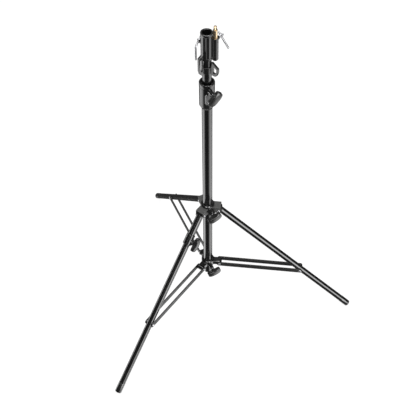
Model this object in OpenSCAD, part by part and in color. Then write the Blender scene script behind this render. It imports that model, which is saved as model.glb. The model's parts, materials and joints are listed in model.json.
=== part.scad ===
// Lighting stand: a telescopic column on three folding legs with a combined 28 mm and 16 mm head.
// Origin at the centre of the column's lower end, +Z up the column, the right leg towards +X.
// All sizes are in millimetres.

/* [Column] */
// Outside diameter of the column tube
column_d = 35; // [34:0.5:36]
// Wall of the column and riser tubes
tube_wall = 1.5; // [1.2:0.1:1.8]
// Top of the column tube above its lower end
column_top = 940; // [900:5:960]
// Outside diameter of the riser tube
riser_d = 30; // [29:0.5:30]
// Lower end of the retracted riser
riser_foot_z = 110; // [60:5:160]

/* [Top collar] */
// Outside diameter of the top collar
collar_d = 50.4; // [48:0.2:54]
// Lower and upper ends of the top collar
collar_z0 = 881; // [870:1:890]
collar_z1 = 973; // [965:1:980]
// Height of the ring that closes the top collar
cap_h = 15; // [10:1:20]
// Height of the riser lock on the column
collar_lock_z = 964; // [962:1:965]

/* [Legs] */
// Radius and height of the leg pivots on the hub
hub_pivot_r = 42; // [41:0.5:44]
hub_pivot_z = 386; // [370:1:400]
// Radius and height of the brace pivots on the lower collar
collar_pivot_r = 47; // [46:0.5:49]
collar_pivot_z = 60; // [56:1:66]
// Radius of the pivot between a brace and its leg, from the column's axis
brace_end_r = 368; // [350:1:380]
// Outside diameter of the leg tubes
leg_d = 24; // [22:0.5:24]
// Length of a leg from its pivot to the end of its foot
leg_length = 763; // [740:1:780]
// Outside diameter and length of the foot caps
foot_d = 25; // [24.6:0.2:25]
foot_length = 42; // [30:1:60]
// Depth of the flat worn on each foot where it meets the floor
foot_flat_depth = 1.9; // [1:0.1:3]

/* [Braces] */
// Height and thickness of a brace bar
bar_h = 20; // [16:0.5:22]
bar_t = 3.9; // [3:0.1:4]
// Half of the gap between the two bars of a brace
bar_gap = 12.6; // [12.55:0.05:12.9]

/* [Locks] */
// Length, width and thickness of a lock knob's wing
wing_l = 54; // [48:1:58]
wing_w = 25; // [20:1:28]
wing_t = 18; // [15:1:20]
// Direction of the three column locks, seen from above
lock_az = -60; // [-66:1:-54]

/* [Head] */
// Bore and outside diameter of the socket for a 28 mm pin
socket_d = 28.8; // [28.6:0.1:29]
socket_outer_d = 36; // [35:0.5:38]
// Lower end and mouth of the socket
socket_z0 = 1079; // [1070:1:1085]
socket_z1 = 1175; // [1170:1:1180]
// Distance of the side pod from the socket's axis
pod_x = 25.5; // [25:0.1:27]
// Outside diameter of the side pod and diameter of the spigot in it
pod_d = 20; // [19.5:0.1:22]
spigot_d = 16; // [15.8:0.1:16]
// Lower end and mouth of the side pod
pod_z0 = 1075; // [1070:1:1080]
pod_z1 = 1157; // [1155:1:1160]

/* [Hidden] */
$fn = 64;

// Fits: a running gap on a radius, and an overrun for clean cuts
run = 0.06;
cut = 1;

// Directions of the three legs
right_az = 0;
rear_az = 120;
level_az = 240;

column_r = column_d / 2;
column_inner_r = column_r - tube_wall;
riser_r = riser_d / 2;
riser_inner_r = riser_r - tube_wall;
plug_flange_h = 4;
glide_l = 40;

collar_r = collar_d / 2;
cap_wall = 4.7;
bush_flange_h = 3;

ring_r = 25;
ring_chamfer = 4;
ring_bush_r = 20;
hub_ring_z0 = hub_pivot_z - 15;
hub_ring_z1 = hub_pivot_z + 25;
hub_lock_z = hub_pivot_z + 5;
lower_ring_z0 = collar_pivot_z - 16;
lower_ring_z1 = collar_pivot_z + 16;
lower_lock_z = collar_pivot_z - 3;

// Channel brackets of the hub, around the leg heads
bracket_half_w = 17;
bracket_t = 3;
bracket_reach = 50;
bracket_z0 = hub_pivot_z - 10;
bracket_z1 = hub_pivot_z + 17;

pin_r = 4;
pin_head_r = 5.5;
pin_head_h = 2.8;
lug_half_w = 12.4;
lug_r = 9;

leg_r = leg_d / 2;
leg_inner_r = leg_r - tube_wall;
leg_tilt = atan2(brace_end_r - hub_pivot_r, hub_pivot_z - collar_pivot_z);
brace_s = norm([brace_end_r - hub_pivot_r, hub_pivot_z - collar_pivot_z]);
brace_l = brace_end_r - collar_pivot_r;
head_half_w = 13.6;
head_s = 14;
bushing_r = 6;
foot_r = foot_d / 2;
foot_wall_end = 8;
foot_low_z = hub_pivot_z - leg_length * cos(leg_tilt) - foot_r * sin(leg_tilt);
floor_z = foot_low_z + foot_flat_depth;

sleeve_r = 13.5;
sleeve_end_s = 125;
level_tube_s = 30;
level_travel = 60;
clamp_s = 85;
clamp_r = 16.5;
level_lock_s = 111.7;

screw_r = 5;
pad_r = 6;
pad_gap = 0.03;
pocket_gap = 0.15;
boss_r = 8;
hub_boss_r = 12;
lower_boss_r = 7.5;

socket_r = socket_d / 2;
socket_outer_r = socket_outer_d / 2;
socket_floor = 8;
head_plug_l = 39;
pod_r = pod_d / 2;
spigot_r = spigot_d / 2;
spigot_floor = 8;
socket_lock_az = 150;
socket_lock_z = 1133;
spigot_lock_az = 54;
spigot_lock_z = 1150.5;
lock_screw_r = 4;
rod_r = 3;
socket_hole_z = 29;
socket_rod_turn = 41;
spigot_hole_z = 25;
spigot_rod_turn = 45;
spigot_shoulder_z = 1186;
spigot_tip_z = 1198;
head_pin_z = 1060;
head_pin_r = 2;

// Locks: ends of pads, pockets and bosses from the tube's axis, and the knobs' place and turn
collar_pad_end = 20;
collar_boss_end = 46;
collar_knob_z = 50;
collar_neck_h = 5;
collar_turn = 48;
ring_pad_end = 21.5;
ring_pocket_end = 23;
hub_boss_end = 46;
hub_knob_z = 50;
hub_neck_h = 7;
hub_turn = 26;
lower_boss_end = 44;
lower_knob_z = 50;
lower_neck_h = 6;
lower_turn = 15;
level_pad_end = 16;
level_pocket_end = 17.5;
level_boss_end = 21;
level_knob_z = 23;
level_neck_h = 4;
knob_bore_l = 12;

// ---------- shared shapes ----------

// A round tube standing on z0
module tube(r_out, r_in, z0, z1) {
    translate([0, 0, z0]) difference() {
        cylinder(r = r_out, h = z1 - z0);
        translate([0, 0, -cut]) cylinder(r = r_in, h = z1 - z0 + 2 * cut);
    }
}

// A round bar standing on z0
module bar(r, z0, z1) {
    translate([0, 0, z0]) cylinder(r = r, h = z1 - z0);
}

// A cylinder along the local Y axis, between two sideways distances
module cross_bar(r, y0, y1) {
    translate([0, y1, 0]) rotate([90, 0, 0]) cylinder(r = r, h = y1 - y0);
}

// Turns local +Z to point out from the column at a direction and height; local +X then points down
module outward(az, z) {
    rotate([0, 0, az]) translate([0, 0, z]) rotate([0, 90, 0]) children();
}

// Places local +Z along a leg from its pivot, local +X under it and local +Y to its side
module along_leg(az) {
    rotate([0, 0, az])
        translate([hub_pivot_r, 0, hub_pivot_z])
            rotate([0, 180 - leg_tilt, 0])
                children();
}

// Turns local +Z to point sideways out of the levelling leg at its lock
module level_outward() {
    along_leg(level_az) translate([0, 0, level_lock_s]) rotate([-90, 0, 0]) children();
}

// The moulded knob of a lock: a domed wing across a round neck, on the local Z axis
module wing_knob(z0, neck_h, turn) {
    dome_r = 62;
    rotate([0, 0, turn]) difference() {
        union() {
            bar(boss_r + 1, z0, z0 + neck_h + cut);
            translate([0, 0, z0 + neck_h]) intersection() {
                translate([-wing_w / 2, -wing_l / 2, 0]) cube([wing_w, wing_l, wing_t]);
                translate([-wing_w, 0, wing_t - dome_r])
                    rotate([0, 90, 0]) cylinder(r = dome_r, h = 2 * wing_w, $fn = 160);
            }
        }
        bar(screw_r, z0 - cut, z0 + neck_h + knob_bore_l);
    }
}

// The screw of a lock, from its pad into its knob
module lock_screw(z0, knob_z, neck_h) {
    bar(screw_r, z0, knob_z + neck_h + knob_bore_l);
}

// A brake pad, hollowed to fit the tube that it presses
module brake_pad(tube_r, z1) {
    difference() {
        bar(pad_r, tube_r - 3, z1);
        rotate([0, 90, 0]) translate([0, 0, -2 * pad_r])
            cylinder(r = tube_r + pad_gap, h = 4 * pad_r, $fn = 96);
    }
}

// The hole of a lock: a pocket for the pad, then a hole for the screw
module lock_hole(z0, pocket_z, z1) {
    bar(pad_r + pocket_gap, z0, pocket_z);
    bar(screw_r + run, pocket_z - cut, z1 + cut);
}

// ---------- column ----------

module column_tube() {
    color("#18181a") tube(column_r, column_inner_r, plug_flange_h, column_top);
}

module column_plug() {
    plug_top = 30;
    color("#101010") {
        bar(column_r, 0, plug_flange_h);
        tube(column_inner_r, column_inner_r - 3, plug_flange_h, plug_top);
    }
}

// Brake and guide collar at the top of the column
module top_collar() {
    taper_h = 13;
    pocket_end = 21.5;
    lug_w = 30;
    lug_d = 29;
    lug_drop = 18;
    lug_h = 30;
    color("#1b1b1d") difference() {
        union() {
            bar(collar_r, collar_z0 + taper_h, collar_z1);
            translate([0, 0, collar_z0])
                cylinder(r1 = column_r + 0.5, r2 = collar_r, h = taper_h);
            outward(lock_az, collar_lock_z) bar(boss_r, 0, collar_boss_end);
            // cast lug with an arched top under the lock
            rotate([0, 0, lock_az]) rotate([0, 90, 0]) linear_extrude(lug_d)
                union() {
                    translate([lug_drop - collar_lock_z, 0]) circle(d = lug_w);
                    translate([lug_drop - collar_lock_z, -lug_w / 2]) square([lug_h, lug_w]);
                }
        }
        bar(column_r, collar_z0 - cut, collar_z1 + cut);
        outward(lock_az, collar_lock_z) lock_hole(riser_r - 3, pocket_end, collar_boss_end);
    }
}

module collar_cap() {
    rim_lip = 0.4;
    color("#222224") {
        tube(collar_r + rim_lip, collar_r - cap_wall, collar_z1, collar_z1 + cap_h - 2);
        translate([0, 0, collar_z1 + cap_h - 2]) difference() {
            cylinder(r1 = collar_r + rim_lip, r2 = collar_r - 1, h = 2);
            bar(collar_r - cap_wall, -cut, 2 + cut);
        }
    }
}

module collar_bush() {
    color("#0d0d0d") difference() {
        union() {
            bar(column_r, column_top, collar_z1);
            bar(collar_r - cap_wall, collar_z1, collar_z1 + bush_flange_h);
        }
        bar(riser_r + run, column_top - cut, collar_z1 + bush_flange_h + cut);
        outward(lock_az, collar_lock_z) bar(pad_r + pocket_gap, riser_r - 3, collar_r);
    }
}

module collar_pad() {
    color("#0d0d0d") outward(lock_az, collar_lock_z) brake_pad(riser_r, collar_pad_end);
}

module collar_screw() {
    color("silver") outward(lock_az, collar_lock_z)
        lock_screw(collar_pad_end, collar_knob_z, collar_neck_h);
}

module collar_knob() {
    color("#161616") outward(lock_az, collar_lock_z)
        wing_knob(collar_knob_z, collar_neck_h, collar_turn);
}

// ---------- riser ----------

module riser_tube() {
    color("#18181a") difference() {
        tube(riser_r, riser_inner_r, riser_foot_z, socket_z0);
        head_pin_hole();
    }
}

// Plug that closes the riser and keeps its guide on
module riser_stop() {
    flange_h = 6;
    plug_l = 25;
    color("#101010") {
        bar(riser_r + 0.7, riser_foot_z - flange_h, riser_foot_z);
        tube(riser_inner_r, riser_inner_r - 3, riser_foot_z, riser_foot_z + plug_l);
    }
}

module riser_glide() {
    color("#e8e6df")
        tube(column_inner_r - run, riser_r + run, riser_foot_z + run, riser_foot_z + glide_l);
}

module riser_clip() {
    clip_z = riser_foot_z + glide_l + 0.2;
    color("silver") difference() {
        tube(riser_r + 0.7, riser_r, clip_z, clip_z + 2);
        translate([0, -2, clip_z - cut]) cube([riser_r + 2, 4, 4]);
    }
}

// ---------- head ----------

module head_pin_hole() {
    rotate([0, 0, 90]) translate([0, 0, head_pin_z]) cross_bar(head_pin_r, -column_r, column_r);
}

// Cast socket for a 28 mm pin, with a pod for the spigot at its side
module head_casting() {
    rim_r = 19.6;
    rim_h = 8;
    foot_h = 7;
    rib_r = 1.5;
    rib_count = 12;
    web_w = 14;
    lock_boss_end = 24;
    pod_boss_end = 14;
    pod_boss_r = 6.4;
    color("#1d1d1f") difference() {
        union() {
            bar(riser_inner_r, socket_z0 - head_plug_l, socket_z0);
            bar(socket_outer_r, socket_z0, socket_z1);
            bar(rim_r, socket_z1 - rim_h, socket_z1 - 1);
            translate([0, 0, socket_z1 - 1]) cylinder(r1 = rim_r, r2 = rim_r - 1, h = 1);
            bar(socket_outer_r + 1, socket_z0, socket_z0 + foot_h);
            for (i = [2 : rib_count - 2])
                rotate([0, 0, i * 360 / rib_count]) translate([socket_outer_r - 0.6, 0, 0])
                    bar(rib_r, socket_z0 + foot_h, socket_z1 - rim_h);
            translate([pod_x, 0, 0]) bar(pod_r, pod_z0 + 3, pod_z1);
            translate([pod_x, 0, pod_z0]) cylinder(r1 = pod_r - 2.5, r2 = pod_r, h = 3);
            translate([socket_r, -web_w / 2, socket_z0])
                cube([pod_x - socket_r, web_w, pod_z1 - socket_z0 - 2]);
            outward(socket_lock_az, socket_lock_z) bar(boss_r, socket_r, lock_boss_end);
            translate([pod_x, 0, 0]) outward(spigot_lock_az, spigot_lock_z)
                bar(pod_boss_r, 0, pod_boss_end);
        }
        bar(socket_r, socket_z0 + socket_floor, socket_z1 + cut);
        translate([pod_x, 0, 0]) bar(spigot_r + run, pod_z0 + spigot_floor, socket_z1 + cut);
        outward(socket_lock_az, socket_lock_z)
            bar(lock_screw_r + run, socket_r - 3, lock_boss_end + cut);
        translate([pod_x, 0, 0]) outward(spigot_lock_az, spigot_lock_z)
            bar(lock_screw_r + run, spigot_r - 3, pod_boss_end + cut);
        head_pin_hole();
    }
}

module head_pin() {
    color("silver") rotate([0, 0, 90]) translate([0, 0, head_pin_z])
        cross_bar(head_pin_r, -riser_r, riser_r);
}

// A flat slotted ear that stands out from the riser, from outlines of radius and height
module cable_ear(az, outline, slot) {
    ear_t = 7;
    rotate([0, 0, az]) translate([0, ear_t / 2, 0]) rotate([90, 0, 0])
        linear_extrude(ear_t) difference() {
            polygon(outline);
            polygon(slot);
        }
}

// Band around the riser with two slotted ears for winding cable
module cable_hooks() {
    band_z0 = 1028;
    band_z1 = 1052;
    band_r = 18;
    wide_az = -29;
    tall_az = -125;
    wide_ear = [[17, 1023], [17, 1070], [22, 1073], [44.5, 1056], [44.5, 1043], [40, 1029], [33, 1023]];
    wide_slot = [[26, 1059], [37, 1051], [37, 1040], [31, 1033], [26, 1033]];
    tall_ear = [
        [17, 1025], [17, 1060], [20.5, 1066], [20.5, 1098], [24, 1104],
        [39, 1098], [39, 1052], [34, 1036], [24, 1025]
    ];
    tall_slot = [[24, 1088], [32, 1088], [32, 1056], [28, 1042], [24, 1042]];
    color("#161617") difference() {
        union() {
            bar(band_r, band_z0, band_z1);
            cable_ear(wide_az, wide_ear, wide_slot);
            cable_ear(tall_az, tall_ear, tall_slot);
        }
        bar(riser_r, band_z0 - column_r, socket_z0);
    }
}

// A clamping screw with a cross-drilled head, on the local Z axis
module cross_screw(tip, head_z0, head_z1, head_r, hole_z, hole_turn) {
    color("silver") difference() {
        union() {
            bar(lock_screw_r, tip, head_z0);
            bar(head_r, head_z0, head_z1 - 1);
            translate([0, 0, head_z1 - 1]) cylinder(r1 = head_r, r2 = head_r - 1, h = 1);
        }
        rotate([0, 0, hole_turn]) translate([0, 0, hole_z])
            cross_bar(rod_r + run, -2 * head_r, 2 * head_r);
    }
}

module socket_screw() {
    outward(socket_lock_az, socket_lock_z)
        cross_screw(socket_r + 0.2, 25, 33.5, 5, socket_hole_z, -socket_rod_turn);
}

// Bent rod through the socket screw's head
module socket_bar() {
    stub = 14;
    arm = 19;
    bend = 90 - socket_rod_turn;
    bend_r = 8;
    bend_swell = 0.02;
    lap = 0.3;
    drop = 44;
    color("#c9c9cc") outward(socket_lock_az, socket_lock_z)
        translate([0, 0, socket_hole_z]) rotate([0, 0, -socket_rod_turn]) {
            cross_bar(rod_r, -stub, arm + lap);
            translate([0, -stub, 0]) sphere(r = rod_r);
            translate([bend_r, arm, 0]) rotate([0, 0, 180 - bend])
                rotate_extrude(angle = bend) translate([bend_r, 0]) circle(r = rod_r + bend_swell);
            translate([bend_r * (1 - cos(bend)), arm + bend_r * sin(bend), 0])
                rotate([0, 0, -bend]) {
                    cross_bar(rod_r, -lap, drop);
                    translate([0, drop, 0]) sphere(r = rod_r);
                }
        }
}

module spigot_screw() {
    translate([pod_x, 0, 0]) outward(spigot_lock_az, spigot_lock_z)
        cross_screw(spigot_r + 0.2, 19.5, 34, 4.6, spigot_hole_z, spigot_rod_turn);
}

// Straight rod through the spigot screw's head
module spigot_bar() {
    upper = 10.5;
    lower = 42.5;
    color("#c9c9cc") translate([pod_x, 0, 0]) outward(spigot_lock_az, spigot_lock_z)
        translate([0, 0, spigot_hole_z]) rotate([0, 0, spigot_rod_turn]) {
            cross_bar(rod_r, -lower, upper);
            translate([0, upper, 0]) sphere(r = rod_r);
            translate([0, -lower, 0]) sphere(r = rod_r);
        }
}

module spigot() {
    neck_r = 6.85;
    thread_r = 4.75;
    groove_r = 6.8;
    groove_h = 9;
    body_end = pod_z1 - 0.5;
    color("#b08a58") translate([pod_x, 0, 0]) difference() {
        union() {
            bar(spigot_r, pod_z0 + spigot_floor, body_end);
            bar(neck_r, body_end, spigot_shoulder_z);
            bar(thread_r, spigot_shoulder_z, spigot_tip_z - 1);
            translate([0, 0, spigot_tip_z - 1])
                cylinder(r1 = thread_r, r2 = thread_r - 1, h = 1);
        }
        tube(spigot_r + cut, groove_r, spigot_lock_z - groove_h / 2, spigot_lock_z + groove_h / 2);
    }
}

// ---------- hub ----------

// Body of a sliding ring, chamfered at the top
module ring_body(z0, z1) {
    bar(ring_r, z0, z1 - ring_chamfer);
    translate([0, 0, z1 - ring_chamfer])
        cylinder(r1 = ring_r, r2 = ring_r - ring_chamfer, h = ring_chamfer);
}

module hub_ring() {
    color("#1b1b1d") difference() {
        union() {
            ring_body(hub_ring_z0, hub_ring_z1);
            outward(lock_az, hub_lock_z) bar(hub_boss_r, 0, hub_boss_end);
        }
        bar(ring_bush_r, hub_ring_z0 - cut, hub_ring_z1 + cut);
        outward(lock_az, hub_lock_z) lock_hole(column_r - 3, ring_pocket_end, hub_boss_end);
    }
}

module hub_bush() {
    color("#0d0d0d") difference() {
        tube(ring_bush_r, column_r + run, hub_ring_z0, hub_ring_z1);
        outward(lock_az, hub_lock_z) bar(pad_r + pocket_gap, column_r - 3, ring_r);
    }
}

// Side outline of a channel bracket: square at the top, rounded under the pivot
module bracket_side() {
    corner_r = 10;
    translate([0, bracket_z0 + corner_r]) square([bracket_reach, bracket_z1 - bracket_z0 - corner_r]);
    translate([0, bracket_z0]) square([bracket_reach - corner_r, corner_r + cut]);
    translate([bracket_reach - corner_r, bracket_z0 + corner_r]) circle(r = corner_r);
}

// Three pressed channels that carry the leg heads
module hub_brackets() {
    inner_half_w = bracket_half_w - bracket_t;
    color("#3a3a3e") difference() {
        for (az = [right_az, rear_az, level_az]) rotate([0, 0, az]) difference() {
            translate([0, bracket_half_w, 0]) rotate([90, 0, 0])
                linear_extrude(2 * bracket_half_w) bracket_side();
            translate([0, -inner_half_w, bracket_z0 - cut])
                cube([bracket_reach + cut, 2 * inner_half_w, bracket_z1 - bracket_t - bracket_z0 + cut]);
            translate([hub_pivot_r, 0, hub_pivot_z])
                cross_bar(pin_r + run, -bracket_half_w - cut, bracket_half_w + cut);
        }
        bar(ring_r, bracket_z0 - cut, bracket_z1 + cut);
        outward(lock_az, hub_lock_z) bar(hub_boss_r, 0, hub_boss_end);
    }
}

// A headed pivot pin across a leg plane, its heads outside a given half width
module pivot_pin(az, r, z, half_w) {
    rotate([0, 0, az]) translate([r, 0, z]) {
        cross_bar(pin_r, -half_w, half_w);
        cross_bar(pin_head_r, half_w, half_w + pin_head_h);
        cross_bar(pin_head_r, -half_w - pin_head_h, -half_w);
    }
}

module hub_pins() {
    color("silver") for (az = [right_az, rear_az])
        pivot_pin(az, hub_pivot_r, hub_pivot_z, bracket_half_w);
}

module hub_pad() {
    color("#0d0d0d") outward(lock_az, hub_lock_z) brake_pad(column_r, ring_pad_end);
}

module hub_screw() {
    color("silver") outward(lock_az, hub_lock_z) lock_screw(ring_pad_end, hub_knob_z, hub_neck_h);
}

module hub_knob() {
    color("#161616") outward(lock_az, hub_lock_z) wing_knob(hub_knob_z, hub_neck_h, hub_turn);
}

// ---------- lower collar ----------

module lower_collar() {
    color("#1b1b1d") difference() {
        union() {
            ring_body(lower_ring_z0, lower_ring_z1);
            outward(lock_az, lower_lock_z) bar(lower_boss_r, 0, lower_boss_end);
            for (az = [right_az, rear_az, level_az]) rotate([0, 0, az])
                translate([0, 0, collar_pivot_z]) {
                    translate([0, -lug_half_w, -lug_r])
                        cube([collar_pivot_r, 2 * lug_half_w, 2 * lug_r]);
                    translate([collar_pivot_r, 0, 0]) cross_bar(lug_r, -lug_half_w, lug_half_w);
                }
        }
        bar(ring_bush_r, lower_ring_z0 - cut, lower_ring_z1 + cut);
        outward(lock_az, lower_lock_z) lock_hole(column_r - 3, ring_pocket_end, lower_boss_end);
        for (az = [right_az, rear_az, level_az]) rotate([0, 0, az])
            translate([collar_pivot_r, 0, collar_pivot_z])
                cross_bar(pin_r + run, -lug_half_w - cut, lug_half_w + cut);
    }
}

module lower_bush() {
    color("#0d0d0d") difference() {
        tube(ring_bush_r, column_r + run, lower_ring_z0, lower_ring_z1);
        outward(lock_az, lower_lock_z) bar(pad_r + pocket_gap, column_r - 3, ring_r);
    }
}

module brace_pins() {
    color("silver") for (az = [right_az, rear_az])
        pivot_pin(az, collar_pivot_r, collar_pivot_z, bar_gap + bar_t + 0.1);
}

module lower_pad() {
    color("#0d0d0d") outward(lock_az, lower_lock_z) brake_pad(column_r, ring_pad_end);
}

module lower_screw() {
    color("silver") outward(lock_az, lower_lock_z)
        lock_screw(ring_pad_end, lower_knob_z, lower_neck_h);
}

module lower_knob() {
    color("#161616") outward(lock_az, lower_lock_z)
        wing_knob(lower_knob_z, lower_neck_h, lower_turn);
}

// ---------- legs and braces ----------

// Solid end that turns on the hub's pin and plugs the leg tube
module leg_head(az) {
    plug_l = 30;
    cheek_r = 12;
    color("#141414") along_leg(az) difference() {
        union() {
            cross_bar(cheek_r, -head_half_w, head_half_w);
            bar(leg_r, 0, head_s);
            bar(leg_inner_r, head_s, head_s + plug_l);
        }
        cross_bar(pin_r + run, -head_half_w - cut, head_half_w + cut);
    }
}

module leg_tube(az) {
    color("#18181a") along_leg(az) difference() {
        tube(leg_r, leg_inner_r, head_s, leg_length - foot_wall_end);
        translate([0, 0, brace_s]) cross_bar(bushing_r, -leg_r - cut, leg_r + cut);
    }
}

// Cross bushing where the brace bolt goes through the leg
module leg_bushing(az) {
    color("silver") along_leg(az) translate([0, 0, brace_s])
        cross_bar(bushing_r, -lug_half_w, lug_half_w);
}

// Moulded cap with a flat where it stands on the floor
module foot(az) {
    slab = 60;
    color("#0e0e0e") difference() {
        along_leg(az) difference() {
            bar(foot_r, leg_length - foot_length, leg_length);
            bar(leg_r, leg_length - foot_length - cut, leg_length - foot_wall_end);
        }
        rotate([0, 0, az])
            translate([leg_length * sin(leg_tilt) + hub_pivot_r - slab / 2, -slab / 2, floor_z - slab])
                cube([slab, slab, slab]);
    }
}

// A pair of flat bars with rounded ends, from the lower collar to a leg
module braces(az) {
    end_r = bar_h / 2;
    color("#232326") rotate([0, 0, az]) translate([0, 0, collar_pivot_z])
        for (side = [-1, 1])
            translate([0, side * (bar_gap + bar_t / 2) + bar_t / 2, 0]) rotate([90, 0, 0])
                linear_extrude(bar_t) difference() {
                    union() {
                        translate([collar_pivot_r, -end_r]) square([brace_l, bar_h]);
                        translate([collar_pivot_r, 0]) circle(r = end_r);
                        translate([brace_end_r, 0]) circle(r = end_r);
                    }
                    translate([collar_pivot_r, 0]) circle(r = pin_r + run);
                    translate([brace_end_r, 0]) circle(r = pin_r);
                }
}

// Bolt heads and shanks in the outer ends of the bars
module brace_studs(az) {
    color("silver") rotate([0, 0, az]) translate([brace_end_r, 0, collar_pivot_z])
        for (side = [-1, 1]) {
            cross_bar(pin_r, min(side * bar_gap, side * (bar_gap + bar_t)),
                max(side * bar_gap, side * (bar_gap + bar_t)));
            translate([0, side > 0 ? bar_gap + bar_t : -bar_gap - bar_t - pin_head_h, 0])
                cross_bar(pin_head_r, 0, pin_head_h);
        }
}

// ---------- levelling leg ----------

// Sliding tube, slotted so that it can move along the cross bushing of the braces
module level_tube() {
    slot_r = bushing_r + run;
    slot_w = leg_r + cut;
    color("#18181a") along_leg(level_az) difference() {
        tube(leg_r, leg_inner_r, level_tube_s, leg_length - foot_wall_end);
        translate([0, slot_w, 0]) rotate([90, 0, 0]) linear_extrude(2 * slot_w) union() {
            translate([-slot_r, brace_s - level_travel]) square([2 * slot_r, level_travel]);
            translate([0, brace_s - level_travel]) circle(r = slot_r);
            translate([0, brace_s]) circle(r = slot_r);
        }
    }
}

// Sleeve that turns on the hub and holds the sliding leg tube
module level_sleeve() {
    color("#1b1b1d") difference() {
        along_leg(level_az) difference() {
            union() {
                cross_bar(sleeve_r, -head_half_w, head_half_w);
                bar(sleeve_r, 0, sleeve_end_s);
            }
            bar(leg_r + run, head_s, sleeve_end_s + cut);
            cross_bar(pin_r + run, -head_half_w - cut, head_half_w + cut);
        }
        level_outward() bar(pad_r + pocket_gap, 0, clamp_r);
    }
}

module level_clamp() {
    color("#1b1b1d") difference() {
        union() {
            along_leg(level_az) bar(clamp_r, clamp_s, sleeve_end_s);
            level_outward() bar(boss_r + 1, 0, level_boss_end);
        }
        along_leg(level_az) bar(sleeve_r, clamp_s - cut, sleeve_end_s + cut);
        level_outward() lock_hole(0, level_pocket_end, level_boss_end);
    }
}

module level_pad() {
    color("#0d0d0d") level_outward() rotate([0, 0, 90]) brake_pad(leg_r, level_pad_end);
}

module level_screw() {
    color("silver") level_outward() lock_screw(level_pad_end, level_knob_z, level_neck_h);
}

module level_knob() {
    color("#161616") level_outward() wing_knob(level_knob_z, level_neck_h, 0);
}

module level_hub_pin() {
    color("silver") pivot_pin(level_az, hub_pivot_r, hub_pivot_z, bracket_half_w + 0.05);
}

module level_collar_pin() {
    color("silver") pivot_pin(level_az, collar_pivot_r, collar_pivot_z, bar_gap + bar_t + 0.1);
}

// ---------- nodes ----------

column_tube();
column_plug();
top_collar();
collar_cap();
collar_bush();
collar_pad();
collar_screw();
collar_knob();
riser_tube();
riser_stop();
riser_glide();
riser_clip();
head_casting();
head_pin();
cable_hooks();
socket_screw();
socket_bar();
spigot_screw();
spigot_bar();
spigot();
hub_ring();
hub_bush();
hub_brackets();
hub_pins();
hub_pad();
hub_screw();
hub_knob();
lower_collar();
lower_bush();
brace_pins();
lower_pad();
lower_screw();
lower_knob();
leg_head(right_az);  // right_leg_head
leg_tube(right_az);  // right_leg_tube
leg_bushing(right_az);  // right_leg_bushing
foot(right_az);  // right_foot
braces(right_az);  // right_braces
brace_studs(right_az);  // right_brace_studs
leg_head(rear_az);  // rear_leg_head
leg_tube(rear_az);  // rear_leg_tube
leg_bushing(rear_az);  // rear_leg_bushing
foot(rear_az);  // rear_foot
braces(rear_az);  // rear_braces
brace_studs(rear_az);  // rear_brace_studs
level_hub_pin();
level_sleeve();
level_clamp();
level_pad();
level_screw();
level_knob();
level_tube();
leg_bushing(level_az);  // level_bushing
foot(level_az);  // level_foot
level_collar_pin();
braces(level_az);  // level_braces
brace_studs(level_az);  // level_brace_studs
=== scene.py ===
"""Looks of the telescopic lighting stand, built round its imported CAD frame.

Units are metres, +Z up the column, the right leg towards +X. Sizes written with MM are millimetres.
"""
import json
import math

import bmesh
import bpy
import numpy as np
from mathutils import Matrix, Vector


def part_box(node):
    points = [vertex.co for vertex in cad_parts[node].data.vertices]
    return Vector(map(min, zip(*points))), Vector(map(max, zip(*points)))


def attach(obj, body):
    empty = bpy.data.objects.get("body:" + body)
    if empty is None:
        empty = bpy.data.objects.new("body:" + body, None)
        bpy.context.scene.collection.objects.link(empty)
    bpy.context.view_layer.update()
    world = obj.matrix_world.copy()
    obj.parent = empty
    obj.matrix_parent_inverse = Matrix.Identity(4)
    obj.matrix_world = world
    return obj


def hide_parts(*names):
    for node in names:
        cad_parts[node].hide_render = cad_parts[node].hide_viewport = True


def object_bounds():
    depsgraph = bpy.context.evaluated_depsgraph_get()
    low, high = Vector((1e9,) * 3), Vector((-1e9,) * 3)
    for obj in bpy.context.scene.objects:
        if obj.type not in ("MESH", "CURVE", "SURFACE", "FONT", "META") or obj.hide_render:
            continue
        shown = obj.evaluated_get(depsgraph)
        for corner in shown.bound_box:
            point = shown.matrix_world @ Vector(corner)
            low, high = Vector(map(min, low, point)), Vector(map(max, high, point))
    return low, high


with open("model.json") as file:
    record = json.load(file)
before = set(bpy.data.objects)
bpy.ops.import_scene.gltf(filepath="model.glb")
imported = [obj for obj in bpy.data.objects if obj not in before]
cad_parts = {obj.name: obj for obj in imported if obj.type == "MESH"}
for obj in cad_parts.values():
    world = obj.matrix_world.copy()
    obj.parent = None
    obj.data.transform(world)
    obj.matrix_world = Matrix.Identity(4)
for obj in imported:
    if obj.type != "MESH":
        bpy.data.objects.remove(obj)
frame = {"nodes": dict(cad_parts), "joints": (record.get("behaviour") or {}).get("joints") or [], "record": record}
CAD_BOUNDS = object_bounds()
MM = 0.001
UP = Vector((0, 0, 1))
NODES = frame["nodes"]
BODY_OF = {n: b for b, members in frame["record"]["behaviour"]["bodies"].items() for n in members}
JOINTS = {j["name"]: j for j in frame["joints"]}
SLOT_OF = {s["node"]: s["material_slot"] for s in frame["record"]["subparts"]}


# ---------- node helpers for materials ----------

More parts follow.
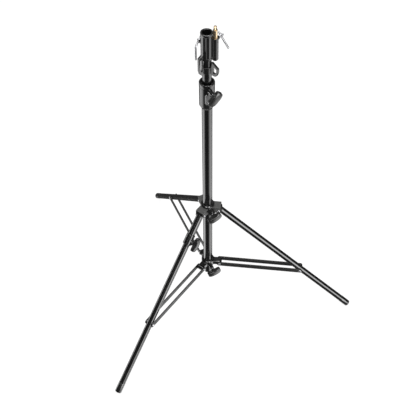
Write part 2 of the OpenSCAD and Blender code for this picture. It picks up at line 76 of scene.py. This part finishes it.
class Graph:
    """A material's node tree, with short calls that add one node and return its output."""

    def __init__(self, name):
        self.material = bpy.data.materials.new(name)
        self.material.use_nodes = True
        self.tree = self.material.node_tree
        self.shader = self.tree.nodes["Principled BSDF"]
        self.place = self.tree.nodes.new("ShaderNodeTexCoord").outputs["Object"]

    @classmethod
    def of(cls, tree):
        """The same calls on a node tree that is already there."""
        graph = cls.__new__(cls)
        graph.tree = tree
        return graph

    def link(self, a, b):
        self.tree.links.new(a, b)

    def set(self, **values):
        """Sets or links inputs of the shader, named with _ for each space."""
        for key, value in values.items():
            socket = self.shader.inputs[key.replace("_", " ")]
            if isinstance(value, bpy.types.NodeSocket):
                self.link(value, socket)
            else:
                socket.default_value = value

    def stretched(self, x, y, z):
        """The object coordinate, scaled along each axis."""
        node = self.tree.nodes.new("ShaderNodeMapping")
        node.inputs["Scale"].default_value = (x, y, z)
        self.link(self.place, node.inputs["Vector"])
        return node.outputs["Vector"]

    def noise(self, scale, detail=3.0, roughness=0.5, vector=None):
        node = self.tree.nodes.new("ShaderNodeTexNoise")
        node.inputs["Scale"].default_value = scale
        node.inputs["Detail"].default_value = detail
        node.inputs["Roughness"].default_value = roughness
        self.link(vector or self.place, node.inputs["Vector"])
        return node.outputs["Fac"]

    def cells(self, scale):
        node = self.tree.nodes.new("ShaderNodeTexVoronoi")
        node.inputs["Scale"].default_value = scale
        self.link(self.place, node.inputs["Vector"])
        return node.outputs["Distance"]

    def ramp(self, value, low, high, out_low, out_high):
        """value moved from low..high to out_low..out_high, held at the ends."""
        node = self.tree.nodes.new("ShaderNodeMapRange")
        node.inputs["From Min"].default_value = low
        node.inputs["From Max"].default_value = high
        node.inputs["To Min"].default_value = out_low
        node.inputs["To Max"].default_value = out_high
        self.link(value, node.inputs["Value"])
        return node.outputs["Result"]

    def step(self, value, start, full):
        """A smooth step from 0 at start to 1 at full."""
        node = self.tree.nodes.new("ShaderNodeMapRange")
        node.interpolation_type = "SMOOTHSTEP"
        node.inputs["From Min"].default_value = start
        node.inputs["From Max"].default_value = full
        self.link(value, node.inputs["Value"])
        return node.outputs["Result"]

    def blend(self, factor, a, b):
        """Colour a where factor is 0 and b where it is 1."""
        node = self.tree.nodes.new("ShaderNodeMix")
        node.data_type = "RGBA"
        self.link(factor, node.inputs["Factor"])
        for socket, colour in ((node.inputs[6], a), (node.inputs[7], b)):
            if isinstance(colour, bpy.types.NodeSocket):
                self.link(colour, socket)
            else:
                socket.default_value = (*colour, 1.0)
        return node.outputs[2]

    def math(self, operation, a, b):
        node = self.tree.nodes.new("ShaderNodeMath")
        node.operation = operation
        for socket, value in zip(node.inputs, (a, b)):
            if isinstance(value, bpy.types.NodeSocket):
                self.link(value, socket)
            else:
                socket.default_value = value
        return node.outputs["Value"]

    def bump(self, height, strength, distance):
        """Bumps the shader's surface and returns the finished material."""
        node = self.tree.nodes.new("ShaderNodeBump")
        node.inputs["Strength"].default_value = strength
        node.inputs["Distance"].default_value = distance
        self.link(height, node.inputs["Height"])
        self.link(node.outputs["Normal"], self.shader.inputs["Normal"])
        return self.material


# ---------- materials ----------

SCUFF_COLOUR = (0.05, 0.049, 0.047)


def grey(value):
    """A neutral colour of one brightness."""
    return value, value, value


def painted(name, dark, light, rough, grain_scale, grain, coat):
    """Black paint: slow tone changes, fine surface grain and a few dusty scuffs."""
    g = Graph(name)
    tone = g.noise(9.0, 4.0)
    scuffs = g.ramp(g.noise(140.0, 6.0, 0.7, g.stretched(1, 1, 0.15)), 0.62, 0.74, 0.0, 1.0)
    base = g.blend(g.ramp(tone, 0.35, 0.65, 0.0, 1.0), dark, light)
    worn = g.blend(g.math("MULTIPLY", scuffs, 0.2), base, SCUFF_COLOUR)
    roughness = g.math("ADD", g.ramp(g.noise(35.0, 5.0), 0.3, 0.7, rough - 0.05, rough + 0.06),
                       g.math("MULTIPLY", scuffs, 0.12))
    g.set(Base_Color=worn, Roughness=roughness, Specular_IOR_Level=0.3, Coat_Weight=coat,
          Coat_Roughness=0.07)
    return g.bump(g.noise(grain_scale, 3.0, 0.6), grain, 0.2 * MM)


def moulded(name, dark, light, rough, gloss):
    """Moulded black plastic with a fine pebbled grain under a thin gloss."""
    g = Graph(name)
    grain = g.cells(1400.0)
    base = g.blend(g.ramp(g.noise(60.0, 4.0), 0.35, 0.65, 0.0, 1.0), dark, light)
    roughness = g.ramp(g.noise(220.0, 4.0), 0.3, 0.7, rough - 0.06, rough + 0.08)
    g.set(Base_Color=base, Roughness=roughness, Specular_IOR_Level=0.5, Coat_Weight=gloss,
          Coat_Roughness=0.16)
    return g.bump(grain, 0.12, 0.1 * MM)


def plated(name, dark, light, rough, stretch):
    """Plated steel: bright, with fine drawn lines and duller patches."""
    g = Graph(name)
    lines = g.noise(900.0, 3.0, 0.6, g.stretched(*stretch))
    patches = g.ramp(g.noise(120.0, 5.0, 0.6), 0.4, 0.7, 0.0, 1.0)
    roughness = g.math("ADD", g.ramp(lines, 0.3, 0.7, rough - 0.06, rough + 0.06),
                       g.math("MULTIPLY", patches, 0.1))
    g.set(Base_Color=g.blend(patches, light, dark), Metallic=1.0, Roughness=roughness)
    return g.bump(lines, 0.15, 0.05 * MM)


def turned_brass(name):
    """Turned brass: fine rings round the axis, and a little tarnish."""
    g = Graph(name)
    rings = g.noise(1.0, 2.0, 0.5, g.stretched(20, 20, 5200))
    tarnish = g.ramp(g.noise(160.0, 6.0, 0.65), 0.45, 0.75, 0.0, 1.0)
    colour = g.blend(tarnish, (0.80, 0.62, 0.40), (0.50, 0.34, 0.20))
    roughness = g.math("ADD", g.ramp(rings, 0.3, 0.7, 0.20, 0.32),
                       g.math("MULTIPLY", tarnish, 0.15))
    g.set(Base_Color=colour, Metallic=1.0, Roughness=roughness)
    return g.bump(rings, 0.25, 0.05 * MM)


def nylon(name):
    """Pale moulded nylon of the sliding guide."""
    g = Graph(name)
    base = g.blend(g.noise(80.0, 3.0), (0.72, 0.70, 0.63), (0.82, 0.80, 0.74))
    g.set(Base_Color=base, Roughness=g.ramp(g.noise(300.0, 2.0), 0.3, 0.7, 0.38, 0.5))
    return g.bump(g.noise(500.0, 2.0), 0.1, 0.1 * MM)


# painted: name, dark and light colour, roughness, grain scale, grain height, coat
# moulded: name, dark and light colour, roughness, coat
# plated: name, dark and light colour, roughness, stretch of the drawn lines
MATERIALS = {
    "tube_paint": painted("tube_enamel", grey(0.003), grey(0.006), 0.24, 700.0, 0.03, 1.0),
    "cast_paint": painted("cast_powder", grey(0.004), grey(0.009), 0.28, 1500.0, 0.08, 0.9),
    "bracket_paint": painted("bracket_powder", (0.050, 0.050, 0.049), (0.080, 0.080, 0.078),
                             0.50, 1300.0, 0.15, 0.0),
    "brace_paint": painted("brace_satin", grey(0.012), (0.020, 0.020, 0.019),
                           0.38, 1100.0, 0.1, 0.2),
    "black_plastic": moulded("moulded_plastic", grey(0.010), grey(0.018), 0.28, 0.6),
    "foot_plastic": moulded("foot_cap", grey(0.003), grey(0.007), 0.26, 1.0),
    "white_plastic": nylon("guide_nylon"),
    "zinc": plated("zinc_plate", (0.42, 0.42, 0.43), (0.66, 0.66, 0.68), 0.36, (1, 1, 0.08)),
    "brass": turned_brass("brass_turned"),
}


def dress(piece, node):
    """Gives a piece the finish of a CAD node: its slot's, but the braces' own satin grey."""
    finish = "brace_paint" if node.endswith("_braces") else SLOT_OF[node]
    piece.data.materials.clear()
    piece.data.materials.append(MATERIALS[finish])
    return piece


for node, piece in NODES.items():
    dress(piece, node)


# ---------- shapes ----------

SMOOTH_UNDER = math.radians(38)


def new_piece(name, points, faces, node):
    """A smooth-shaded piece that stands for a CAD node, on its body and in its material."""
    mesh = bpy.data.meshes.new(name)
    mesh.from_pydata([tuple(p) for p in points], [], faces)
    mesh.validate()
    piece = bpy.data.objects.new(name, mesh)
    bpy.context.scene.collection.objects.link(piece)
    return adopt(piece, node)


def adopt(piece, node):
    """Finishes a piece: outward faces, smooth shading, body, the CAD node it stands for hidden, material."""
    work = bmesh.new()
    work.from_mesh(piece.data)
    bmesh.ops.recalc_face_normals(work, faces=work.faces)
    work.to_mesh(piece.data)
    work.free()
    piece.data.shade_smooth()
    piece.data.set_sharp_from_angle(angle=SMOOTH_UNDER)
    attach(piece, BODY_OF[node])
    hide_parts(node)
    return dress(piece, node)


def loft(rings):
    """Points and faces of a closed skin over rings of equal length, with a fan at each end."""
    count = len(rings[0])
    points = [p for ring in rings for p in ring]
    faces = []
    for k in range(len(rings) - 1):
        for i in range(count):
            j = (i + 1) % count
            faces.append((k * count + i, k * count + j, (k + 1) * count + j, (k + 1) * count + i))
    for ring, first in ((rings[0], 0), (rings[-1], (len(rings) - 1) * count)):
        middle = sum((Vector(p) for p in ring), Vector()) / count
        points.append(middle)
        faces += [(first + i, first + (i + 1) % count, len(points) - 1) for i in range(count)]
    return points, faces


def frame_at(place, axis, across=None):
    """A matrix that puts local +Z on axis and local +Y as near to across as it can, at a place."""
    z = Vector(axis).normalized()
    y = Vector(across) if across is not None else z.orthogonal()
    y = (y - y.dot(z) * z).normalized()
    return Matrix.Translation(place) @ Matrix((y.cross(z), y, z)).transposed().to_4x4()


RINGS_PER_TURN = 8


def turned_rings(profile, segments, thread):
    """Rings of a turned shape from (radius, height) points.

    A thread is (radius, low, high, pitch, depth), all lengths.
    """
    heights = list(profile)
    if thread:
        radius, low, high, pitch, depth = thread
        steps = max(2, int(round((high - low) / pitch * RINGS_PER_TURN)))
        run = [(radius, low + (high - low) * k / steps) for k in range(steps + 1)]
        heights = [p for p in profile if p[1] < low] + run + [p for p in profile if p[1] > high]
    rings = []
    for radius, z in heights:
        ring = []
        for i in range(segments):
            turn = 2 * math.pi * i / segments
            r = radius
            if thread and low <= z <= high:
                phase = ((z - low) / pitch - i / segments) % 1.0
                fade = min(1.0, (z - low) / pitch, (high - z) / pitch)
                r -= depth * fade * abs(2 * phase - 1)
            ring.append((r * math.cos(turn), r * math.sin(turn), z))
        rings.append(ring)
    return rings


def turned(name, node, place, axis, profile, thread=None, segments=48):
    """A turned piece on an axis: bolts, rivets, screws, caps and spigots."""
    points, faces = loft(turned_rings(profile, segments, thread))
    move = frame_at(Vector(place), axis)
    return new_piece(name, [move @ Vector(p) for p in points], faces, node)


# Corners nearer than this, in metres, are joined
WELD = 2e-6


def welded_copy(node, name):
    """A new object with a CAD node's mesh, its split corners joined."""
    mesh = NODES[node].data.copy()
    mesh.name = name
    work = bmesh.new()
    work.from_mesh(mesh)
    bmesh.ops.remove_doubles(work, verts=work.verts, dist=WELD)
    work.to_mesh(mesh)
    work.free()
    if "custom_normal" in mesh.attributes:
        mesh.attributes.remove(mesh.attributes["custom_normal"])
    piece = bpy.data.objects.new(name, mesh)
    bpy.context.scene.collection.objects.link(piece)
    return piece


def baked(piece):
    """Replaces a piece's mesh by the result of its modifiers."""
    bpy.context.view_layer.update()
    settled = piece.evaluated_get(bpy.context.evaluated_depsgraph_get())
    shape = bpy.data.meshes.new_from_object(settled)
    piece.modifiers.clear()
    piece.data = shape
    return piece


def eased(node, width, segments=2):
    """A CAD shape with its sharp edges rounded over, as pressed and machined parts have."""
    piece = welded_copy(node, node + "_eased")
    flat = piece.modifiers.new("flat", "DECIMATE")
    flat.decimate_type = "DISSOLVE"
    flat.angle_limit = math.radians(1)
    ease = piece.modifiers.new("ease", "BEVEL")
    ease.width = width
    ease.segments = segments
    ease.limit_method = "ANGLE"
    ease.angle_limit = math.radians(32)
    return adopt(baked(piece), node)


def cast(node, voxel, passes):
    """A CAD shape with soft edges and filleted corners, as sand or die casting leaves it."""
    piece = welded_copy(node, node + "_cast")
    skin = piece.modifiers.new("skin", "REMESH")
    skin.mode = "VOXEL"
    skin.voxel_size = voxel
    ease = piece.modifiers.new("ease", "CORRECTIVE_SMOOTH")
    ease.iterations = passes
    ease.smooth_type = "SIMPLE"
    ease.factor = 0.5
    thin = piece.modifiers.new("thin", "DECIMATE")
    thin.ratio = 0.35
    return adopt(baked(piece), node)


# ---------- wing knobs and their screws ----------

WING_T = 18 * MM
WING_CORNER = 5.0
WAIST_DEPTH = 0.13
NECK_R = 8.6 * MM
NECK_RIBS = 12
RIB_DEPTH = 0.05
HOLLOW = 0.035
STUD_R = 4.9 * MM


def along(node, place, axis):
    """Nearest and farthest distance of a CAD node's points along an axis from a place."""
    reach = [(v.co - place).dot(axis) for v in NODES[node].data.vertices]
    return min(reach), max(reach)


def long_way(node, place, axis):
    """The direction, square to an axis, in which a CAD node reaches farthest on the whole."""
    flat = []
    for v in NODES[node].data.vertices:
        arm = v.co - place
        flat.append(arm - arm.dot(axis) * axis)
    spread = np.cov(np.array([list(p) for p in flat]).T)
    values, vectors = np.linalg.eigh(spread)
    return Vector(vectors[:, int(np.argmax(values))])


def wing_outline(half_length, half_width, count=72):
    """Rounded outline of a wing, drawn in at the waist."""
    ring = []
    for i in range(count):
        turn = 2 * math.pi * i / count
        c, s = math.cos(turn), math.sin(turn)
        x = half_width * math.copysign(abs(c) ** (2 / WING_CORNER), c)
        y = half_length * math.copysign(abs(s) ** (2 / WING_CORNER), s)
        waist = 1 - WAIST_DEPTH * math.exp(-(y / (0.42 * half_length)) ** 2)
        ring.append((x * waist, y))
    return ring


def reach_from(node, place, axis):
    """How far a CAD node reaches from a place along an axis, either way."""
    return max(abs(end) for end in along(node, place, axis))


def add_knob(which):
    """One lock knob: ribbed neck, wing with a domed face, and finger hollows on its sides."""
    node = which + "_knob"
    joint = JOINTS[which + "_lock_turn"]
    axis = Vector(joint["axis"]).normalized()
    place = Vector(joint["pos_m"])
    near, far = along(node, place, axis)
    length_way = long_way(node, place, axis)
    half_length = reach_from(node, place, length_way)
    half_width = reach_from(node, place, length_way.cross(axis))
    under = far - WING_T
    side_low = under + 2 * MM
    outline = wing_outline(half_length, half_width)
    count = len(outline)

    def face(x, y):
        return far - 5.4 * MM * (y / half_length) ** 2 - 1.6 * MM * (x / half_width) ** 2

    def flat_ring(scale, z):
        return [(x * scale, y * scale, z) for x, y in outline]

    def face_ring(scale, sunk=0.0):
        return [(x * scale, y * scale, face(x * scale, y * scale) - sunk) for x, y in outline]

    def side_ring(part):
        hollow = 1 - HOLLOW * math.sin(math.pi * part)
        return [(x * hollow, y, side_low + part * (face(x, y) - 2 * MM - side_low))
                for x, y in outline]

    def neck_ring(radius, z, ribs=0.0):
        points = []
        for i in range(count):
            turn = 2 * math.pi * i / count
            r = radius * (1 - ribs * (0.5 + 0.5 * math.cos(NECK_RIBS * turn)))
            points.append((r * math.cos(turn), r * math.sin(turn), z))
        return points

    rings = [
        neck_ring(NECK_R - 0.8 * MM, near), neck_ring(NECK_R, near + 0.8 * MM, RIB_DEPTH),
        neck_ring(NECK_R, under - 0.8 * MM, RIB_DEPTH), neck_ring(NECK_R + 0.8 * MM, under),
        flat_ring(0.90, under + 0.1 * MM), flat_ring(0.97, under + 0.6 * MM),
        flat_ring(1.0, side_low),
    ]
    rings += [side_ring(part) for part in (0.30, 0.55, 0.80)]
    rings += [face_ring(1.0, 1.6 * MM), face_ring(0.975, 0.5 * MM)]
    rings += [face_ring(scale) for scale in (0.93, 0.80, 0.62, 0.44, 0.28, 0.12)]
    points, faces = loft(rings)
    move = frame_at(place, axis, length_way)
    new_piece(which + "_wing", [move @ Vector(p) for p in points], faces, node)
    add_stud_screw(which, place, axis)


def add_stud_screw(which, place, axis):
    """The threaded screw between a lock's pad and its knob."""
    node = which + "_screw"
    low, high = along(node, place, axis)
    profile = [(STUD_R - 0.9 * MM, low), (STUD_R, low + 0.8 * MM), (STUD_R, high - 0.3 * MM),
               (STUD_R - 0.5 * MM, high)]
    thread = (STUD_R, low + 1.0 * MM, high - 1.0 * MM, 1.5 * MM, 0.5 * MM)
    turned(which + "_stud", node, place, axis, profile, thread)


for which in ("collar", "hub", "lower", "level"):
    add_knob(which)


# ---------- castings, pressings and caps ----------

# CAD node, voxel size in millimetres, smoothing passes
CASTINGS = [
    ("head_casting", 0.9, 6), ("top_collar", 0.9, 6), ("collar_cap", 0.9, 6), ("hub_ring", 0.9, 6),
    ("lower_collar", 0.9, 6), ("level_clamp", 0.8, 6), ("cable_hooks", 0.7, 6),
    ("socket_screw", 0.35, 4), ("spigot_screw", 0.35, 4), ("hub_brackets", 0.7, 3),
]
for node, voxel, passes in CASTINGS:
    cast(node, voxel * MM, passes)
for leg in ("right", "rear", "level"):
    eased(leg + "_braces", 0.6 * MM)
    eased(leg + "_foot", 1.6 * MM, segments=4)


# ---------- pins, bolts and the spigot ----------

def local_reach(node, place, axis, within):
    """Ends, along an axis, of the part of a CAD node that lies near that axis."""
    heights = []
    for v in NODES[node].data.vertices:
        arm = v.co - place
        height = arm.dot(axis)
        if (arm - height * axis).length < within:
            heights.append(height)
    return min(heights), max(heights)


PIN_R = 4 * MM
PIN_HEAD_R = 5.5 * MM
PIN_HEAD_H = 2.8 * MM
PIN_RIM = 0.3 * MM
DOME_STEPS = 7


def domed_head(top, sense):
    """Profile points of a domed head that ends at top; sense is +1 upward or -1 downward."""
    base = top - sense * PIN_HEAD_H
    points = [(PIN_R, base), (PIN_HEAD_R - PIN_RIM, base), (PIN_HEAD_R, base + sense * PIN_RIM)]
    for k in range(1, DOME_STEPS):
        turn = math.pi / 2 * k / DOME_STEPS
        rise = PIN_RIM + (PIN_HEAD_H - PIN_RIM) * math.sin(turn)
        points.append((PIN_HEAD_R * math.cos(turn), base + sense * rise))
    return points + [(0.15 * PIN_HEAD_R, top)]


def add_pin(name, node, joint):
    """A pivot pin with a domed head at each end."""
    place = Vector(JOINTS[joint]["pos_m"])
    axis = Vector(JOINTS[joint]["axis"]).normalized()
    low, high = local_reach(node, place, axis, 8 * MM)
    turned(name, node, place, axis, domed_head(low, -1)[::-1] + domed_head(high, 1))


def add_stud(leg, sense):
    """A short bolt in the outer end of one brace bar, its domed head outside."""
    node = leg + "_brace_studs"
    low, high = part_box(node)
    place = (low + high) / 2
    axis = sense * Vector(JOINTS[leg + "_brace_fold"]["axis"]).normalized()
    heights = [(v.co - place).dot(axis) for v in NODES[node].data.vertices]
    near = min(h for h in heights if h > 0)
    shank = [(PIN_R - 0.4 * MM, near), (PIN_R, near + 0.4 * MM)]
    side = "a" if sense > 0 else "b"
    turned(f"{leg}_stud_{side}", node, place, axis, shank + domed_head(max(heights), 1))


PINS_OF = {"right": ("hub_pins", "brace_pins"), "rear": ("hub_pins", "brace_pins"),
           "level": ("level_hub_pin", "level_collar_pin")}
for leg, (hub_node, lug_node) in PINS_OF.items():
    add_pin(leg + "_hub_rivet", hub_node, leg + "_leg_fold")
    add_pin(leg + "_lug_rivet", lug_node, leg + "_brace_fold")
    for sense in (1, -1):
        add_stud(leg, sense)


def add_spigot():
    """The turned spigot: chamfered ends, lock groove, long neck and threaded tip."""
    mount = next(m for m in frame["record"]["mounts"] if m["name"] == "spigot_stud")
    x, y, _ = mount["pos_m"]
    low, high = (corner.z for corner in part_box("spigot"))
    lock = JOINTS["spigot_lock_turn"]["pos_m"][2]
    body, groove, neck, thread = 8 * MM, 6.8 * MM, 6.85 * MM, mount["dims"]["r_mm"] * MM
    shoulder = high - 12 * MM
    rim = high - 41.5 * MM
    profile = [
        (body - 1 * MM, low), (body, low + 1 * MM), (body, lock - 5.5 * MM),
        (groove, lock - 4.5 * MM), (groove, lock + 4.5 * MM), (body, lock + 4.9 * MM),
        (body, rim - 0.7 * MM), (body - 0.5 * MM, rim), (neck, rim + 0.1 * MM),
        (neck, shoulder - 0.8 * MM), (neck - 0.8 * MM, shoulder),
        (thread - 0.5 * MM, shoulder + 0.1 * MM),
        (thread - 0.8 * MM, high - 0.8 * MM), (thread - 1.6 * MM, high),
    ]
    turned("spigot_turned", "spigot", (x, y, 0), UP, profile,
           (thread, shoulder + 1.0 * MM, high - 1.0 * MM, 1.6 * MM, 0.8 * MM), segments=64)


add_spigot()


# ---------- floor, light and camera ----------

FLOOR_Z = CAD_BOUNDS[0].z
FLOOR_HALF = 9.0
CAMERA_PLACE = Vector((0.2191, -1.8930, 2.6049))
CAMERA_TURN = math.radians(6.334)
CAMERA_DOWN = math.radians(49.573)
CAMERA_ROLL = math.radians(-0.1)
CAMERA_LENS = 67.77
SENSOR = 36.0


def add_floor():
    """A plain white floor that takes only a faint shadow and isn't seen in reflections."""
    mesh = bpy.data.meshes.new("floor")
    corners = [(-FLOOR_HALF, -FLOOR_HALF), (FLOOR_HALF, -FLOOR_HALF), (FLOOR_HALF, FLOOR_HALF),
               (-FLOOR_HALF, FLOOR_HALF)]
    mesh.from_pydata([(x, y, FLOOR_Z) for x, y in corners], [], [(0, 1, 2, 3)])
    floor = bpy.data.objects.new("floor", mesh)
    bpy.context.scene.collection.objects.link(floor)
    g = Graph("floor_white")
    g.set(Base_Color=(*grey(0.12), 1), Roughness=0.9, Specular_IOR_Level=0.0,
          Emission_Color=(*grey(1), 1), Emission_Strength=0.94)
    mesh.materials.append(g.material)
    floor.visible_glossy = False


# Panels of the studio: azimuth, elevation, half width, half height, fade (degrees); radiance
PANELS = [
    (187, -44, 15, 11, 27, 2.5),
    (-7, -46, 26, 9, 22, 2.2),
    (-90, -78, 90, 24, 10, 0.6),
    (-40, 4, 9, 7, 18, 9.0),
    (166, -6, 9, 5, 4, 5.5),
    (-104, 44, 14, 4, 3, 12.0),
    (-53, 39, 10, 3, 3, 14.0),
    (96, 40, 50, 6, 8, 0.3),
]
AMBIENT = 0.06


def world_panel(g, flat, rise, panel):
    """Radiance of one soft panel; flat is a direction's level part, rise its height's sine."""
    azimuth, elevation, half_w, half_h, fade = (math.radians(v) for v in panel[:-1])
    radiance = panel[-1]
    dot = g.tree.nodes.new("ShaderNodeVectorMath")
    dot.operation = "DOT_PRODUCT"
    dot.inputs[1].default_value = (math.cos(azimuth), math.sin(azimuth), 0)
    g.link(flat, dot.inputs[0])
    low, high = elevation - half_h, elevation + half_h
    across = g.step(dot.outputs["Value"], math.cos(half_w + fade), math.cos(half_w))
    above = g.step(rise, math.sin(low - fade), math.sin(low))
    below = g.step(rise, math.sin(high + fade), math.sin(high))
    inside = g.math("MULTIPLY", across, above)
    return g.math("MULTIPLY", inside, g.math("MULTIPLY", below, radiance))


def add_world():
    """White to the eye; in reflections a dark studio with soft panels round the stand."""
    world = bpy.data.worlds.new("studio")
    world.use_nodes = True
    bpy.context.scene.world = world
    world.node_tree.nodes.clear()
    g = Graph.of(world.node_tree)
    coords = g.tree.nodes.new("ShaderNodeTexCoord").outputs["Generated"]
    split = g.tree.nodes.new("ShaderNodeSeparateXYZ")
    g.link(coords, split.inputs[0])
    level = g.tree.nodes.new("ShaderNodeVectorMath")
    level.operation = "MULTIPLY"
    level.inputs[1].default_value = (1, 1, 0)
    g.link(coords, level.inputs[0])
    flat = g.tree.nodes.new("ShaderNodeVectorMath")
    flat.operation = "NORMALIZE"
    g.link(level.outputs[0], flat.inputs[0])
    total = AMBIENT
    for panel in PANELS:
        total = g.math("ADD", world_panel(g, flat.outputs[0], split.outputs["Z"], panel), total)
    studio = g.tree.nodes.new("ShaderNodeBackground")
    g.link(total, studio.inputs["Strength"])
    white = g.tree.nodes.new("ShaderNodeBackground")
    white.inputs["Color"].default_value = (1, 1, 1, 1)
    path = g.tree.nodes.new("ShaderNodeLightPath")
    mix = g.tree.nodes.new("ShaderNodeMixShader")
    g.link(path.outputs["Is Camera Ray"], mix.inputs["Fac"])
    g.link(studio.outputs[0], mix.inputs[1])
    g.link(white.outputs[0], mix.inputs[2])
    out = g.tree.nodes.new("ShaderNodeOutputWorld")
    g.link(mix.outputs[0], out.inputs["Surface"])


OVERHEAD_PLACE = Vector((0.0, 0.3, 4.2))
OVERHEAD_AIM = Vector((0, 0, 0.5))
OVERHEAD_SIZE = 2.4
OVERHEAD_RADIANCE = 8.0


def add_overhead():
    """A square softbox above the stand, seen only in reflections and by its light."""
    lamp = bpy.data.lights.new("overhead", "AREA")
    lamp.shape = "RECTANGLE"
    lamp.size = OVERHEAD_SIZE
    lamp.size_y = OVERHEAD_SIZE
    lamp.energy = math.pi * OVERHEAD_SIZE ** 2 * OVERHEAD_RADIANCE
    holder = bpy.data.objects.new("overhead", lamp)
    holder.visible_camera = False
    holder.location = OVERHEAD_PLACE
    holder.rotation_euler = (OVERHEAD_AIM - OVERHEAD_PLACE).to_track_quat("-Z", "Y").to_euler()
    bpy.context.scene.collection.objects.link(holder)


def add_camera():
    """The photograph's viewpoint: high in front, a little to the right, looking down."""
    data = bpy.data.cameras.new("camera")
    data.lens = CAMERA_LENS
    data.sensor_width = SENSOR
    camera = bpy.data.objects.new("camera", data)
    camera.location = CAMERA_PLACE
    turn = Matrix.Rotation(CAMERA_TURN, 3, "Z")
    tip = Matrix.Rotation(math.pi / 2 - CAMERA_DOWN, 3, "X")
    roll = Matrix.Rotation(CAMERA_ROLL, 3, "Z")
    camera.rotation_euler = (turn @ tip @ roll).to_euler()
    bpy.context.scene.collection.objects.link(camera)
    bpy.context.scene.camera = camera


add_floor()
add_world()
add_overhead()
add_camera()
bpy.context.scene.view_settings.view_transform = "Standard"
